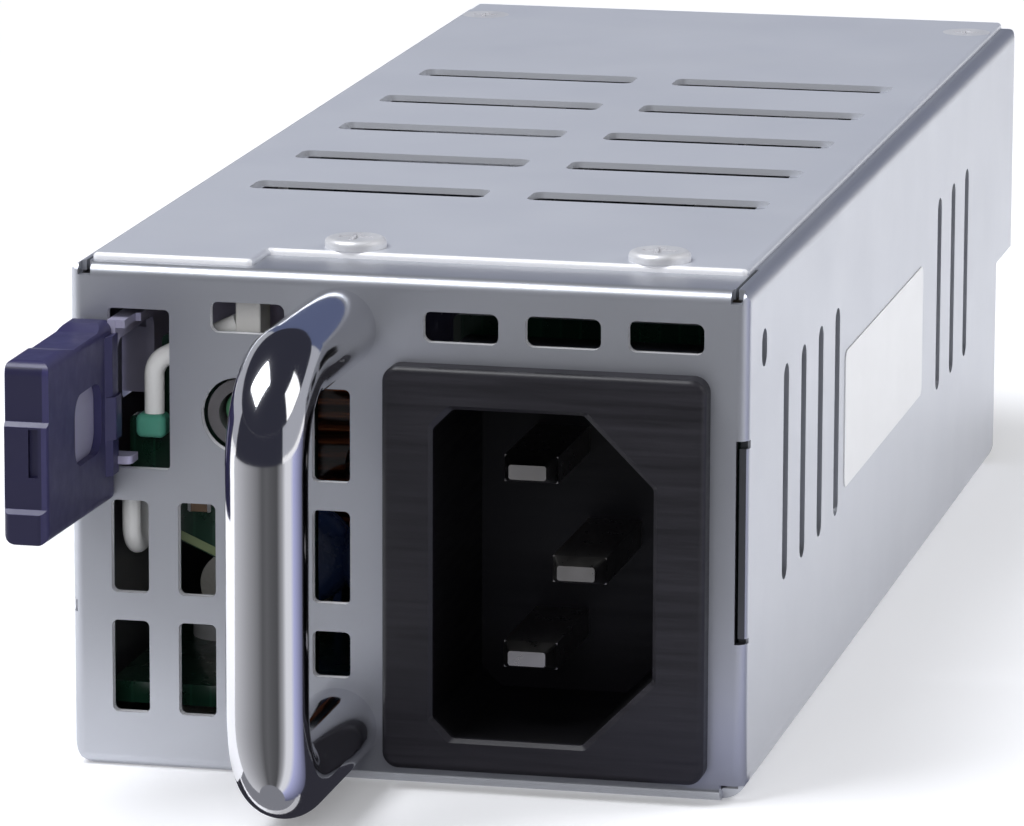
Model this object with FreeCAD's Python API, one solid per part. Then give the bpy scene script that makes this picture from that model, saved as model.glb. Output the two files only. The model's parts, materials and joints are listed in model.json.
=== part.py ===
"""Hot swap server power supply, built as the separate pieces it comes apart into.

Millimetres. +Z is up, +X is to the right when facing the front panel, +Y runs from the front
panel to the rear. The origin is the centre of the flat underside of the lower body.
Most depths are given as d, the distance behind the outer face of the front panel.
"""
import FreeCAD, Part
import math
import os

V = FreeCAD.Vector
X_AXIS = V(1, 0, 0)
Y_AXIS = V(0, 1, 0)
Z_AXIS = V(0, 0, 1)

# ---- case -------------------------------------------------------------------------------
WIDTH = 50.8               # outside of the side walls
LOWER_LENGTH = 119.0       # lower body, front panel to lower rear wall
HOOD_LENGTH = 131.0        # upper part, which overhangs the card edge at the rear
CHASSIS_LENGTH = 130.4     # the cover's rear lip laps over the chassis behind this
HOOD_Z = 18.3              # underside of the rear hood
CASE_TOP = 37.95           # top of the folded chassis, under the cover
SHEET = 0.8                # chassis sheet
COVER_SHEET = 0.5
FRONT_Y = -LOWER_LENGTH / 2
HALF = WIDTH / 2
FRONT_BEND = 0.9           # outside radius of the bends round the front panel
FLOOR_BEND = 2.0           # outside radius of the long bends at the floor
HOOD_BEND = 3.0            # outside radius of the hood's rear corners
LEDGE = 5.9                # inward ledges that carry the cover
FRONT_LEDGE = 16.0
RIGHT_JOINT = (11.9, 27.0)  # heights of the butt joint at the front panel's right edge

# ---- front panel openings ---------------------------------------------------------------
VENT_SIZE = (2.85, 7.0)
VENT_COLUMNS = (-20.9, -15.8, -10.7, -5.6)
VENT_ROWS = (7.7, 16.8, 25.9)
VENT_RADIUS = 0.45
TOP_SLOT_SIZE = (5.6, 2.3)
TOP_SLOT_X = (-11.9, 4.1, 11.7, 19.3)
TOP_SLOT_Z = 34.35
LATCH_SLOT = (-22.5, -17.8, 22.7, 34.7)
LAMP_HOLE = (-12.55, 27.05)
LAMP_HOLE_RADIUS = 2.85

# ---- side wall openings -----------------------------------------------------------------
SIDE_SLOT_SIZE = (2.1, 16.4)
SIDE_SLOT_Z = 21.6
SIDE_SLOT_PITCH = 7.3
SIDE_SLOTS_FRONT = 15.1    # depth of the first slot of the front group of four
SIDE_SLOTS_REAR = 86.5     # depth of the first slot of the rear group of three

# ---- cover ------------------------------------------------------------------------------
COVER_FRONT = 6.2
COVER_TONGUE = (-11.9, 1.6)   # right edge and front end of the tongue on the left
COVER_HALF = HALF - 1.3
COVER_LIP = 8.0
COVER_SLOT_SIZE = (18.6, 3.6)
COVER_SLOT_X = (-10.6, 11.4)
COVER_SLOT_ROWS = [32.3 + 14.1 * row for row in range(5)]
COVER_FRONT_SCREWS = [(-5.8, 8.4), (17.1, 8.4)]
COVER_REAR_SCREWS = [(-21.9, 122.0), (21.9, 122.0)]

# ---- mains inlet (C14) ------------------------------------------------------------------
INLET_X = 10.6
INLET_Z = 16.65
MOUTH_Z = 16.4             # the mouth and pins sit slightly low in the flange
INLET_FLANGE = (24.0, 30.1)
INLET_BODY = (21.0, 27.5)
INLET_RECESS = (16.4, 24.6)
MOUTH_CHAMFER = 0.3
FLANGE_PROUD = 1.9
INLET_DEPTH = 17.5
RECESS_FLOOR = 14.6
PIN_SIZE = (4.0, 2.0)
PIN_SPACING = 14.0         # line to neutral
PIN_OFFSET = 2.0           # line and neutral one way, earth the other way
LINE_TIP = 2.2             # d of the tips; the earth pin is longer, so it meets first
EARTH_TIP = 0.6

# ---- handle -----------------------------------------------------------------------------
HANDLE_X = -5.15
HANDLE_LEGS = (4.0, 33.95)
HANDLE_RADIUS = 2.95
HANDLE_REACH = 20.3
HANDLE_BEND = 6.3

# ---- latch ------------------------------------------------------------------------------
TAB_X = (-25.15, -21.9)
TAB_BOTTOM = (20.8, 20.35)  # underside at the front end and at the root
TAB_TOP = 33.95
TAB_Y = (-18.0, -0.6)      # d of its front end and of its root
TAB_WINDOW = (-7.3, 27.45, (6.9, 5.3), 1.6)
ARM_X = (-22.2, -21.6)     # the strip's faces where it passes the panel
ARM_Z = (23.2, 34.0)
ARM_FLANGE_X = -20.5
ARM_NOSE_X = -20.9         # the upper flange is narrower where it enters the tab
ARM_OFFSET = 0.9           # how far the strip is set over inside the tab
ARM_NOTCH = (-0.5, 9.5, 32.4)  # d of its ends, and its top
PIVOT = (-21.9, 44.0)
PIVOT_RADIUS = 1.0
BRACKET_EARS = (22.1, 35.1)  # mid-heights of the two ears that hold the pin
TOOTH_D = (11.6, 12.6, 17.4)
TOOTH_Z = (26.0, 31.0)
TOOTH_TIP_X = -HALF - 1.2

# ---- boards -----------------------------------------------------------------------------
BOARD_Z = (3.9, 5.5)
CARD_EDGE = 129.0          # the main board's rear edge, under the hood
CARD_HALF = 20.0

# ---- status lamp ------------------------------------------------------------------------
STATUS_BOARD_D = (5.2, 6.4)
STATUS_BOARD_TOP = 31.8
LENS_RADIUS = 1.65
LENS_D = 2.6               # where the lens's barrel ends and its dome begins
PLUG_Z = (24.3, 26.1)
SOCKET_X = (-13.7, -11.8)

# ---- fan --------------------------------------------------------------------------------
FAN_SIZE = 30.0
FAN_DEPTH = (100.0, 115.0)
FAN_Z = 21.6
FAN_BORE = 14.2
BLADE_TIP = 13.8
HUB_RADIUS = 6.5
BLADES = 7


def back(d):
    """Y of a point that lies d behind the outer face of the front panel."""
    return FRONT_Y + d


def box(x0, x1, d0, d1, z0, z1):
    return Part.makeBox(x1 - x0, d1 - d0, z1 - z0, V(x0, back(d0), z0))


def rod(x, d, z, radius, length, axis):
    return Part.makeCylinder(radius, length, V(x, back(d), z), axis)


def tube(x, d, z, outer, inner, length, axis):
    return rod(x, d, z, outer, length, axis).cut(rod(x, d, z, inner, length, axis))


def fuse(shapes):
    shapes = list(shapes)
    return shapes[0].multiFuse(shapes[1:]).removeSplitter() if len(shapes) > 1 else shapes[0]


def unit(vector):
    length = math.hypot(*vector)
    return vector[0] / length, vector[1] / length


def outline(corners, place):
    """Closed face through corners (u, v, radius), each rounded to its radius."""
    ends = []
    for index, (u, v, radius) in enumerate(corners):
        before = corners[index - 1]
        after = corners[(index + 1) % len(corners)]
        back_way = unit((before[0] - u, before[1] - v))
        on_way = unit((after[0] - u, after[1] - v))
        if radius <= 0:
            ends.append(((u, v), None, (u, v)))
            continue
        cosine = back_way[0] * on_way[0] + back_way[1] * on_way[1]
        half_angle = math.acos(max(-1.0, min(1.0, cosine))) / 2
        cut = radius / math.tan(half_angle)
        middle = unit((back_way[0] + on_way[0], back_way[1] + on_way[1]))
        reach = radius / math.sin(half_angle) - radius
        ends.append(((u + back_way[0] * cut, v + back_way[1] * cut),
                     (u + middle[0] * reach, v + middle[1] * reach),
                     (u + on_way[0] * cut, v + on_way[1] * cut)))
    edges = []
    for index, (start, crown, end) in enumerate(ends):
        if crown:
            edges.append(Part.Arc(place(*start), place(*crown), place(*end)).toShape())
        following = ends[(index + 1) % len(ends)][0]
        if math.dist(end, following) > 1e-6:
            edges.append(Part.makeLine(place(*end), place(*following)))
    return Part.Face(Part.Wire(edges))


def facing_front(d):
    """Outlines drawn as seen from the front, at depth d."""
    return lambda u, v: V(u, back(d), v)


def facing_side(x):
    return lambda u, v: V(x, back(u), v)


def seen_from_above(z):
    return lambda u, v: V(u, back(v), z)


def rectangle(u, v, size, radius):
    """Corners of a rounded rectangle about (u, v)."""
    half_u = size[0] / 2
    half_v = size[1] / 2
    return [(u - half_u, v - half_v, radius), (u + half_u, v - half_v, radius),
            (u + half_u, v + half_v, radius), (u - half_u, v + half_v, radius)]


def folded(path, thickness, bend):
    """Corners of a strip of sheet that follows path, with inside radius bend at its folds."""
    sides = ([], [])
    last = len(path) - 1
    for index, point in enumerate(path):
        before = path[max(index - 1, 0)]
        after = path[min(index + 1, last)]
        way_in = unit((point[0] - before[0], point[1] - before[1])) if index else None
        way_out = unit((after[0] - point[0], after[1] - point[1])) if index < last else None
        way_in = way_in or way_out
        way_out = way_out or way_in
        turn = way_in[0] * way_out[1] - way_in[1] * way_out[0]
        share = 1 + way_in[0] * way_out[0] + way_in[1] * way_out[1]
        normal = (-(way_in[1] + way_out[1]) / share, (way_in[0] + way_out[0]) / share)
        for side, corners in ((1, sides[0]), (-1, sides[1])):
            radius = 0.0
            if abs(turn) > 1e-6:
                radius = bend if side * turn > 0 else bend + thickness
            offset = side * thickness / 2
            corners.append((point[0] + normal[0] * offset, point[1] + normal[1] * offset, radius))
    return sides[0] + sides[1][::-1]


def front_cut(corners, d0, d1):
    """Prism through depths d0 to d1 of an outline seen from the front."""
    return outline(corners, facing_front(d0)).extrude(V(0, d1 - d0, 0))


def side_cut(corners, x0, x1):
    return outline(corners, facing_side(x0)).extrude(V(x1 - x0, 0, 0))


def level(corners, z0, z1):
    """Prism between heights z0 and z1 of an outline seen from above."""
    return outline(corners, seen_from_above(z0)).extrude(V(0, 0, z1 - z0))


# ---- case -------------------------------------------------------------------------------
def case_hull(inset):
    """The case's outer form, or its inside when inset is the sheet thickness."""
    def bend(radius):
        return max(radius - inset, 0.1)

    half = HALF - inset
    rear = CHASSIS_LENGTH - inset
    lower_rear = LOWER_LENGTH - inset
    top = CASE_TOP - inset
    hood = HOOD_Z + inset
    plan = [(-half, inset, bend(FRONT_BEND)), (half, inset, bend(FRONT_BEND)),
            (half, rear, bend(HOOD_BEND)), (-half, rear, bend(HOOD_BEND))]
    front = [(-half, inset, bend(FLOOR_BEND)), (half, inset, bend(FLOOR_BEND)),
             (half, top, bend(1.0)), (-half, top, bend(1.0))]
    side = [(inset, inset, bend(FRONT_BEND)), (lower_rear, inset, bend(1.0)),
            (lower_rear, hood, 0.3 + inset), (rear, hood, bend(1.0)),
            (rear, top, bend(2.5)), (inset, top, bend(1.0))]
    hull = level(plan, -1, CASE_TOP + 1)
    hull = hull.common(front_cut(front, -1, HOOD_LENGTH))
    return hull.common(side_cut(side, -HALF - 1, HALF + 1))


def front_openings():
    width, height = VENT_SIZE
    blocked = {(0, 2), (1, 2), (2, 2), (3, 0)}
    cuts = [front_cut(rectangle(x, z, VENT_SIZE, VENT_RADIUS), -1, 2)
            for column, x in enumerate(VENT_COLUMNS) for row, z in enumerate(VENT_ROWS)
            if (column, row) not in blocked]
    # the vent above the handle's lower leg is cut short
    short = rectangle(VENT_COLUMNS[3], VENT_ROWS[0] + height / 4, (width, height / 2), VENT_RADIUS)
    cuts.append(front_cut(short, -1, 2))
    cuts += [front_cut(rectangle(x, TOP_SLOT_Z, TOP_SLOT_SIZE, 0.6), -1, 2) for x in TOP_SLOT_X]
    x0, x1, z0, z1 = LATCH_SLOT
    latch_centre = ((x0 + x1) / 2, (z0 + z1) / 2)
    cuts.append(front_cut(rectangle(*latch_centre, (x1 - x0, z1 - z0), 0.4), -1, 2))
    cuts.append(rod(LAMP_HOLE[0], -1, LAMP_HOLE[1], LAMP_HOLE_RADIUS, 3, Y_AXIS))
    inlet = (INLET_BODY[0] + 0.2, INLET_BODY[1] + 0.2)
    cuts.append(front_cut(rectangle(INLET_X, INLET_Z, inlet, 1.0), -1, 2))
    cuts += [rod(HANDLE_X, -1, z, 1.6, 3, Y_AXIS) for z in HANDLE_LEGS]
    return cuts


def bend_reliefs():
    """Gaps where two bends meet, and the long butt joint at the panel's right edge."""
    low, high = RIGHT_JOINT
    joint = [box(24.5, HALF + 1, -1, 0.3, low, high),
             box(24.5, 24.7, -1, 1.2, low, high),
             box(24.5, HALF + 1, -1, 0.9, low, low + 0.4),
             box(24.5, HALF + 1, -1, 0.9, high - 0.6, high)]
    seams = [box(x - 0.12, x + 0.12, 1.0, FRONT_LEDGE - 7.0, CASE_TOP - 1, CASE_TOP + 1)
             for x in (-24.25, 24.25)]
    corners = [box(-24.75, -23.8, -1, 1.2, 37.05, CASE_TOP + 1),
               box(24.0, 24.9, -1, 1.2, 37.05, CASE_TOP + 1),
               box(23.5, HALF + 1, -1, 1.4, -1, 1.3),
               box(-HALF - 1, -HALF + 0.4, -1, 0.9, 11.6, 12.5)]
    return joint + seams + corners


def side_openings():
    right = [(SIDE_SLOTS_FRONT, 4), (SIDE_SLOTS_REAR, 3)]
    left = [(SIDE_SLOTS_REAR, 3)]
    cuts = []
    for groups, x0, x1 in ((right, HALF - 2, HALF + 1), (left, -HALF - 1, -HALF + 2)):
        for first, count in groups:
            for index in range(count):
                slot = rectangle(first + index * SIDE_SLOT_PITCH, SIDE_SLOT_Z, SIDE_SLOT_SIZE, 1.0)
                cuts.append(side_cut(slot, x0, x1))
    cuts.append(side_cut(rectangle(6.0, 32.8, (2.0, 2.8), 0.99), HALF - 2, HALF + 1))
    tooth = ((TOOTH_D[0] + 15.6) / 2 - 0.2, (TOOTH_Z[0] + TOOTH_Z[1]) / 2)
    cuts.append(side_cut(rectangle(*tooth, (4.4, 6.0), 0.5), -HALF - 1, -HALF + 2))
    return cuts


def rear_openings():
    """The slot for the card edge, vents above it, and the grille in the hood's rear wall."""
    card = rectangle(0, (BOARD_Z[0] + BOARD_Z[1]) / 2, (2 * CARD_HALF + 1.0, 2.8), 0.5)
    cuts = [front_cut(card, LOWER_LENGTH - 2, LOWER_LENGTH + 1)]
    for index in range(8):
        x = (index - 3.5) * 5.1
        lower_vent = rectangle(x, 12.6, (VENT_SIZE[0], 7.4), VENT_RADIUS)
        hood_vent = rectangle(x, 24.3, (VENT_SIZE[0], 8.0), VENT_RADIUS)
        cuts.append(front_cut(lower_vent, LOWER_LENGTH - 2, LOWER_LENGTH + 1))
        cuts.append(front_cut(hood_vent, HOOD_LENGTH - 3, HOOD_LENGTH))
    return cuts


def chassis():
    shell = case_hull(0).cut(case_hull(SHEET))
    opening = [(-HALF + LEDGE, FRONT_LEDGE, 2), (HALF - LEDGE, FRONT_LEDGE, 2),
               (HALF - LEDGE, 118.0, 2), (-HALF + LEDGE, 118.0, 2)]
    cuts = [level(opening, CASE_TOP - 2, CASE_TOP + 1)]
    cuts += front_openings() + bend_reliefs() + side_openings() + rear_openings()
    cuts += [rod(x, d, CASE_TOP - 2, 1.3, 4, Z_AXIS) for x, d in COVER_FRONT_SCREWS]
    cuts += [rod(x, d, CASE_TOP - 2, 1.8, 4, Z_AXIS) for x, d in COVER_REAR_SCREWS]
    return shell.cut(Part.makeCompound(cuts))


def cover():
    """Flat cover with two columns of vents and a lip folded down over the rear wall."""
    middle = CASE_TOP + COVER_SHEET / 2
    rear = HOOD_LENGTH - COVER_SHEET / 2
    tongue_edge, tongue_front = COVER_TONGUE
    path = [(tongue_front, middle), (rear, middle), (rear, CASE_TOP - COVER_LIP)]
    sheet = side_cut(folded(path, COVER_SHEET, 2.5), -COVER_HALF, COVER_HALF)
    plan = [(-COVER_HALF, tongue_front, 0.5), (tongue_edge, tongue_front, 0.5),
            (tongue_edge, COVER_FRONT, 0.5), (COVER_HALF, COVER_FRONT, 0.5),
            (COVER_HALF, HOOD_LENGTH, 3.0), (-COVER_HALF, HOOD_LENGTH, 3.0)]
    sheet = sheet.common(level(plan, 20, 40))
    top = CASE_TOP + COVER_SHEET
    front_rim = [edge for edge in sheet.Edges
                 if abs(edge.BoundBox.ZMin - top) < 1e-6 and edge.BoundBox.YMax < back(COVER_FRONT + 1)]
    sheet = sheet.makeFillet(0.35, front_rim)
    vents = [level(rectangle(x, d, COVER_SLOT_SIZE, 0.8), CASE_TOP - 1, CASE_TOP + 2)
             for x in COVER_SLOT_X for d in COVER_SLOT_ROWS]
    holes = [rod(x, d, CASE_TOP - 1, 1.3, 3, Z_AXIS) for x, d in COVER_FRONT_SCREWS]
    holes += [countersink(x, d, top) for x, d in COVER_REAR_SCREWS]
    return sheet.cut(Part.makeCompound(vents + holes))


def pan_screw(x, y, z, head, length, axis):
    """Pan-head screw whose head sits on (x, y, z) and whose shank runs against axis."""
    base = V(x, y, z)
    radius, height = head
    cap = Part.makeCylinder(radius, height, base, axis)
    rim = [edge for edge in cap.Edges if is_outer_rim(edge, base, axis, height)]
    cap = cap.makeFillet(height * 0.6, rim)
    shank = Part.makeCylinder(radius * 0.5, length, base, axis.negative())
    drive_top = base + axis * height
    cross = [Part.makeBox(radius * 1.1, radius * 0.25, height * 0.5,
                          V(-radius * 0.55, -radius * 0.125, -height * 0.5))]
    cross.append(cross[0].rotated(V(0, 0, 0), Z_AXIS, 90))
    turn = FreeCAD.Rotation(Z_AXIS, axis)
    for blade in cross:
        blade.Placement = FreeCAD.Placement(drive_top, turn).multiply(blade.Placement)
    return cap.fuse(shank).cut(cross[0].fuse(cross[1]))


def is_outer_rim(edge, base, axis, height):
    if not isinstance(edge.Curve, Part.Circle):
        return False
    return abs((edge.Curve.Center - base).dot(axis) - height) < 1e-6


def countersink(x, d, top):
    """Cone of a flat screw head that lies flush at height top."""
    return Part.makeCone(1.3, 2.1, 0.8, V(x, back(d), top - 0.8), Z_AXIS)


def flat_screw(x, d, top):
    shank = rod(x, d, top - 3.0, 1.1, 2.6, Z_AXIS)
    blade = box(x - 1.1, x + 1.1, d - 0.25, d + 0.25, top - 0.4, top)
    cross = blade.fuse(blade.rotated(V(x, back(d), top), Z_AXIS, 90))
    return countersink(x, d, top).fuse(shank).cut(cross)


def cover_screws():
    top = CASE_TOP + COVER_SHEET
    front = [pan_screw(x, back(d), top, (2.3, 0.75), 2.2, Z_AXIS) for x, d in COVER_FRONT_SCREWS]
    rear = [flat_screw(x, d, top) for x, d in COVER_REAR_SCREWS]
    return Part.makeCompound(front + rear)


# ---- mains inlet ------------------------------------------------------------------------
def recess_corners(grow):
    """The C14 mouth: large chamfers beside the earth pin, small ones on the other side."""
    half_x = INLET_RECESS[0] / 2 + grow
    half_z = INLET_RECESS[1] / 2 + grow
    big, small = 5.2, 1.5
    left, right = INLET_X - half_x, INLET_X + half_x
    low, high = MOUTH_Z - half_z, MOUTH_Z + half_z
    return [(left + small, low, 0.5), (right - big, low, 0.5), (right, low + big, 0.5),
            (right, high - big, 0.5), (right - big, high, 0.5), (left + small, high, 0.5),
            (left, high - small, 0.5), (left, low + small, 0.5)]


def pin_places():
    return {"line_pin": (INLET_X - PIN_OFFSET, MOUTH_Z + PIN_SPACING / 2),
            "neutral_pin": (INLET_X - PIN_OFFSET, MOUTH_Z - PIN_SPACING / 2),
            "earth_pin": (INLET_X + PIN_OFFSET, MOUTH_Z)}


def inlet_housing():
    flange = front_cut(rectangle(INLET_X, INLET_Z, INLET_FLANGE, 1.2), -FLANGE_PROUD, 0)
    front_edges = [edge for edge in flange.Edges
                   if abs(edge.CenterOfMass.y - back(-FLANGE_PROUD)) < 1e-6]
    flange = flange.makeFillet(0.5, front_edges)
    body = front_cut(rectangle(INLET_X, INLET_Z, INLET_BODY, 0.8), 0, INLET_DEPTH)
    housing = flange.fuse(body)
    face = -FLANGE_PROUD
    rims = [outline(recess_corners(MOUTH_CHAMFER), facing_front(face - 0.01)),
            outline(recess_corners(0.0), facing_front(face + MOUTH_CHAMFER))]
    mouth = Part.makeLoft([rim.OuterWire for rim in rims], True)
    recess = front_cut(recess_corners(0.0), face, RECESS_FLOOR)
    housing = housing.cut(mouth).cut(recess)
    for x, z in pin_places().values():
        hole = front_cut(rectangle(x, z, PIN_SIZE, 0), RECESS_FLOOR - 1, INLET_DEPTH + 1)
        housing = housing.cut(hole)
    # snap hooks that grip the back of the panel, two on each side
    for side in (-1, 1):
        edge = INLET_X + side * INLET_BODY[0] / 2
        for z in (INLET_Z - 7.5, INLET_Z + 7.5):
            hook = [(edge, 1.0, 0), (edge + side * 0.55, 1.0, 0), (edge, 4.6, 0)]
            housing = housing.fuse(level(hook, z - 2.0, z + 2.0))
    return housing.removeSplitter()


def inlet_pin(x, z, tip):
    """Flat blade with a tapered tip in front and a narrow solder tail behind the housing."""
    width, height = PIN_SIZE
    taper = 1.4
    blade = front_cut(rectangle(x, z, PIN_SIZE, 0), tip + taper, INLET_DEPTH)
    ends = [outline(rectangle(x, z, (width - 1.2, height - 0.9), 0.2), facing_front(tip)),
            outline(rectangle(x, z, (width, height), 0.2), facing_front(tip + taper))]
    nose = Part.makeLoft([end.OuterWire for end in ends], True)
    tail = front_cut(rectangle(x, z, (1.6, 0.9), 0), INLET_DEPTH, 21.2)
    return fuse([blade, nose, tail])


# ---- handle -----------------------------------------------------------------------------
def handle():
    low, high = HANDLE_LEGS

    def at(d, z):
        return V(HANDLE_X, back(d), z)

    reach, bend = -HANDLE_REACH, HANDLE_BEND
    bow = bend * (1 - math.sqrt(0.5))
    edges = [Part.makeLine(at(0, low), at(reach + bend, low)),
             Part.Arc(at(reach + bend, low), at(reach + bow, low + bow), at(reach, low + bend)).toShape(),
             Part.makeLine(at(reach, low + bend), at(reach, high - bend)),
             Part.Arc(at(reach, high - bend), at(reach + bow, high - bow), at(reach + bend, high)).toShape(),
             Part.makeLine(at(reach + bend, high), at(0, high))]
    section = Part.Wire([Part.makeCircle(HANDLE_RADIUS, at(0, low), Y_AXIS)])
    bar = Part.Wire(edges).makePipeShell([section], True, False)
    holes = [rod(HANDLE_X, -6.0, z, 1.25, 7.0, Y_AXIS) for z in HANDLE_LEGS]
    return bar.cut(Part.makeCompound(holes))


def handle_screws():
    return Part.makeCompound([pan_screw(HANDLE_X, back(SHEET), z, (2.5, 1.6), 5.6, Y_AXIS)
                              for z in HANDLE_LEGS])


# ---- latch ------------------------------------------------------------------------------
def latch_arm():
    """Formed strip: set over inside the tab, flanged behind the panel, then its knuckle."""
    x0, x1 = ARM_X
    thickness = x1 - x0
    middle = (x0 + x1) / 2
    low, high = ARM_Z
    inset = middle - ARM_OFFSET
    pivot_x, pivot_d = PIVOT
    flange_end = pivot_d - 6.0
    knuckle_low, knuckle_high = low + 1.4, 30.6
    web = [(inset, -13.0), (inset, -3.6), (middle, -1.8), (middle, pivot_d - 3.0)]
    arm = level(folded(web, thickness, 0.6), low, high)
    flange = [(x0, -1.0, 0), (ARM_FLANGE_X, -1.0, 0.6), (ARM_FLANGE_X, flange_end, 0.6),
              (x0, flange_end, 0)]
    arm = fuse([arm, level(flange, low, low + thickness), level(flange, high - thickness, high)])
    notch_front, notch_rear, notch_top = ARM_NOTCH
    lip = low + thickness
    notch = [(notch_front, lip, 0), (0.9, lip, 0), (0.9, low - 2, 0), (notch_rear, low - 2, 0),
             (notch_rear, notch_top, 1.0), (notch_front, notch_top, 1.0)]
    arm = arm.cut(side_cut(notch, x0 - 1, ARM_FLANGE_X + 1))
    arm = arm.cut(box(ARM_NOSE_X, ARM_FLANGE_X + 1, -2, 2.0, notch_top, high + 1))
    # inside the tab the strip is narrower than in the slot
    for z0, z1 in ((low - 1, low + 1.5), (high - 1.5, high + 1)):
        arm = arm.cut(box(-HALF, x1 + 0.01, -14.0, -1.05, z0, z1))
    # past the flanges the strip narrows to its knuckle
    arm = arm.cut(box(-HALF, ARM_FLANGE_X + 1, pivot_d - 3.05, pivot_d + 3.0, low - 1, high + 1))
    neck = box(x0, x1, pivot_d - 3.1, pivot_d + 0.2, knuckle_low, knuckle_high)
    knuckle = rod(pivot_x, pivot_d, knuckle_low, 1.6, knuckle_high - knuckle_low, Z_AXIS)
    bore = rod(pivot_x, pivot_d, low, PIVOT_RADIUS + 0.05, high - low, Z_AXIS)
    return fuse([arm, neck, knuckle]).cut(bore)


def latch_tooth():
    """Wedge that stands out of the side wall: square to the front, ramped to the rear."""
    front, crest, foot = TOOTH_D
    wedge = [(ARM_X[0], front, 0), (ARM_X[0], foot, 0.3), (TOOTH_TIP_X, crest, 0.4),
             (TOOTH_TIP_X, front, 0.3)]
    return level(wedge, *TOOTH_Z)


def tab_section(bottom, d):
    """The tab's cross-section at depth d, most rounded along its lower edges and top right."""
    x0, x1 = TAB_X
    corners = [(x0, bottom, 0.9), (x1, bottom, 0.75), (x1, TAB_TOP, 0.8), (x0, TAB_TOP, 0.4)]
    return outline(corners, facing_front(d)).OuterWire


def tab_root(proud, z0, z1):
    """Thickening over the arm at the tab's root, standing proud of its right face."""
    x1 = TAB_X[1]
    root = TAB_Y[1]
    return level([(x1 - 1, -3.2, 0), (x1, -2.9, 0.2), (x1 + proud, -2.2, 0.2),
                  (x1 + proud, root, 0.2), (x1 - 1, root, 0)], z0, z1)


def latch_tab():
    """Moulded finger tab: stepped end, saddle in its top, window down to the arm, root boss."""
    x0, x1 = TAB_X
    d0, d1 = TAB_Y
    front_low, root_low = TAB_BOTTOM
    saddle = TAB_TOP - 0.35
    body = Part.makeLoft([tab_section(front_low, d0), tab_section(root_low, d1)], True, True)
    side = [(d0, root_low - 1, 0), (d1, root_low - 1, 0), (d1, TAB_TOP, 0.3), (-2.4, TAB_TOP, 1.0),
            (-4.2, saddle, 2.0), (-10.4, saddle, 2.0), (-12.4, TAB_TOP, 2.0),
            (d0 + 0.7, TAB_TOP, 1.0), (d0 + 0.7, 29.65, 0.1), (d0 + 0.35, 29.3, 0.1),
            (d0 + 0.35, 23.35, 0.1), (d0, 23.0, 0.1)]
    body = body.common(side_cut(side, x0 - 1, x1 + 1))
    plan = [(x0, d0, 0.5), (x1, d0, 0.75), (x1, d1, 0.2), (x0, d1, 0.5)]
    body = body.common(level(plan, root_low - 1, TAB_TOP + 1))
    boss = tab_root(0.65, 25.3, 28.5).fuse(tab_root(0.4, 22.6, 33.0))
    end_pocket = box(x0 + 1.8, x0 + 2.5, d0 - 1, d0 + 0.75, 25.65, 29.15)
    arm_face = ARM_X[1] - ARM_OFFSET
    window = side_cut(rectangle(*TAB_WINDOW), arm_face, x1 + 1)
    return body.fuse(boss).cut(end_pocket).cut(window).cut(latch_arm()).removeSplitter()


def latch_bracket():
    """U-shaped bracket on the left wall; its two ears hold the pin."""
    wall = -HALF + 1.5 * SHEET
    ear_end = PIVOT[0] + 2.6
    lower_ear, upper_ear = BRACKET_EARS
    path = [(ear_end, lower_ear), (wall, lower_ear), (wall, upper_ear), (ear_end, upper_ear)]
    sheet = front_cut(folded(path, SHEET, 0.3), PIVOT[1] - 3.4, PIVOT[1] + 3.4)
    return sheet.cut(rod(*PIVOT, lower_ear - 1, PIVOT_RADIUS, upper_ear - lower_ear + 2, Z_AXIS))


def latch_pin():
    foot = BRACKET_EARS[0] - SHEET / 2 - 0.3
    top = BRACKET_EARS[1] + SHEET / 2
    pin = rod(*PIVOT, foot, PIVOT_RADIUS, top - foot, Z_AXIS)
    head = rod(*PIVOT, top, 1.7, 0.6, Z_AXIS)
    return pin.fuse(head).removeSplitter()


def latch_spring():
    """Torsion spring round the pin, above the knuckle, with one leg along the arm."""
    wire = 0.22
    radius = 1.4
    helix = Part.makeHelix(0.75, 2.7, radius)
    section = Part.Wire([Part.makeCircle(wire, V(radius, 0, 0), Y_AXIS)])
    coil = Part.Wire(helix.Edges).makePipeShell([section], True, True)
    coil.translate(V(PIVOT[0], back(PIVOT[1]), 31.1))
    return coil


# ---- boards and their fastenings --------------------------------------------------------
STANDOFFS = [(-19.0, 20.0), (-19.0, 52.0), (19.5, 36.0), (20.6, 87.2), (-19.0, 110.5),
             (19.5, 110.5)]


def main_board():
    left, right = -23.6, 23.6
    plan = [(left, 4.0, 0.5), (-2.4, 4.0, 0.5), (-2.4, 17.9, 0.5), (right, 17.9, 0.5),
            (right, 117.0, 0.5), (CARD_HALF, 117.0, 0.3), (CARD_HALF, CARD_EDGE, 0.8),
            (-CARD_HALF, CARD_EDGE, 0.8), (-CARD_HALF, 117.0, 0.3), (left, 117.0, 0.5)]
    board = level(plan, *BOARD_Z)
    key = level(rectangle(7.6, CARD_EDGE - 4, (1.6, 9.0), 0.7), BOARD_Z[0] - 1, BOARD_Z[1] + 1)
    holes = [rod(x, d, 0, 1.6, 10, Z_AXIS) for x, d in STANDOFFS]
    return board.cut(Part.makeCompound(holes + [key]))


def standoffs():
    height = BOARD_Z[0] - SHEET
    return Part.makeCompound([tube(x, d, SHEET, 2.6, 1.25, height, Z_AXIS) for x, d in STANDOFFS])


def board_screws():
    return Part.makeCompound([pan_screw(x, back(d), BOARD_Z[1], (2.5, 1.6), 3.6, Z_AXIS)
                              for x, d in STANDOFFS])


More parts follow.
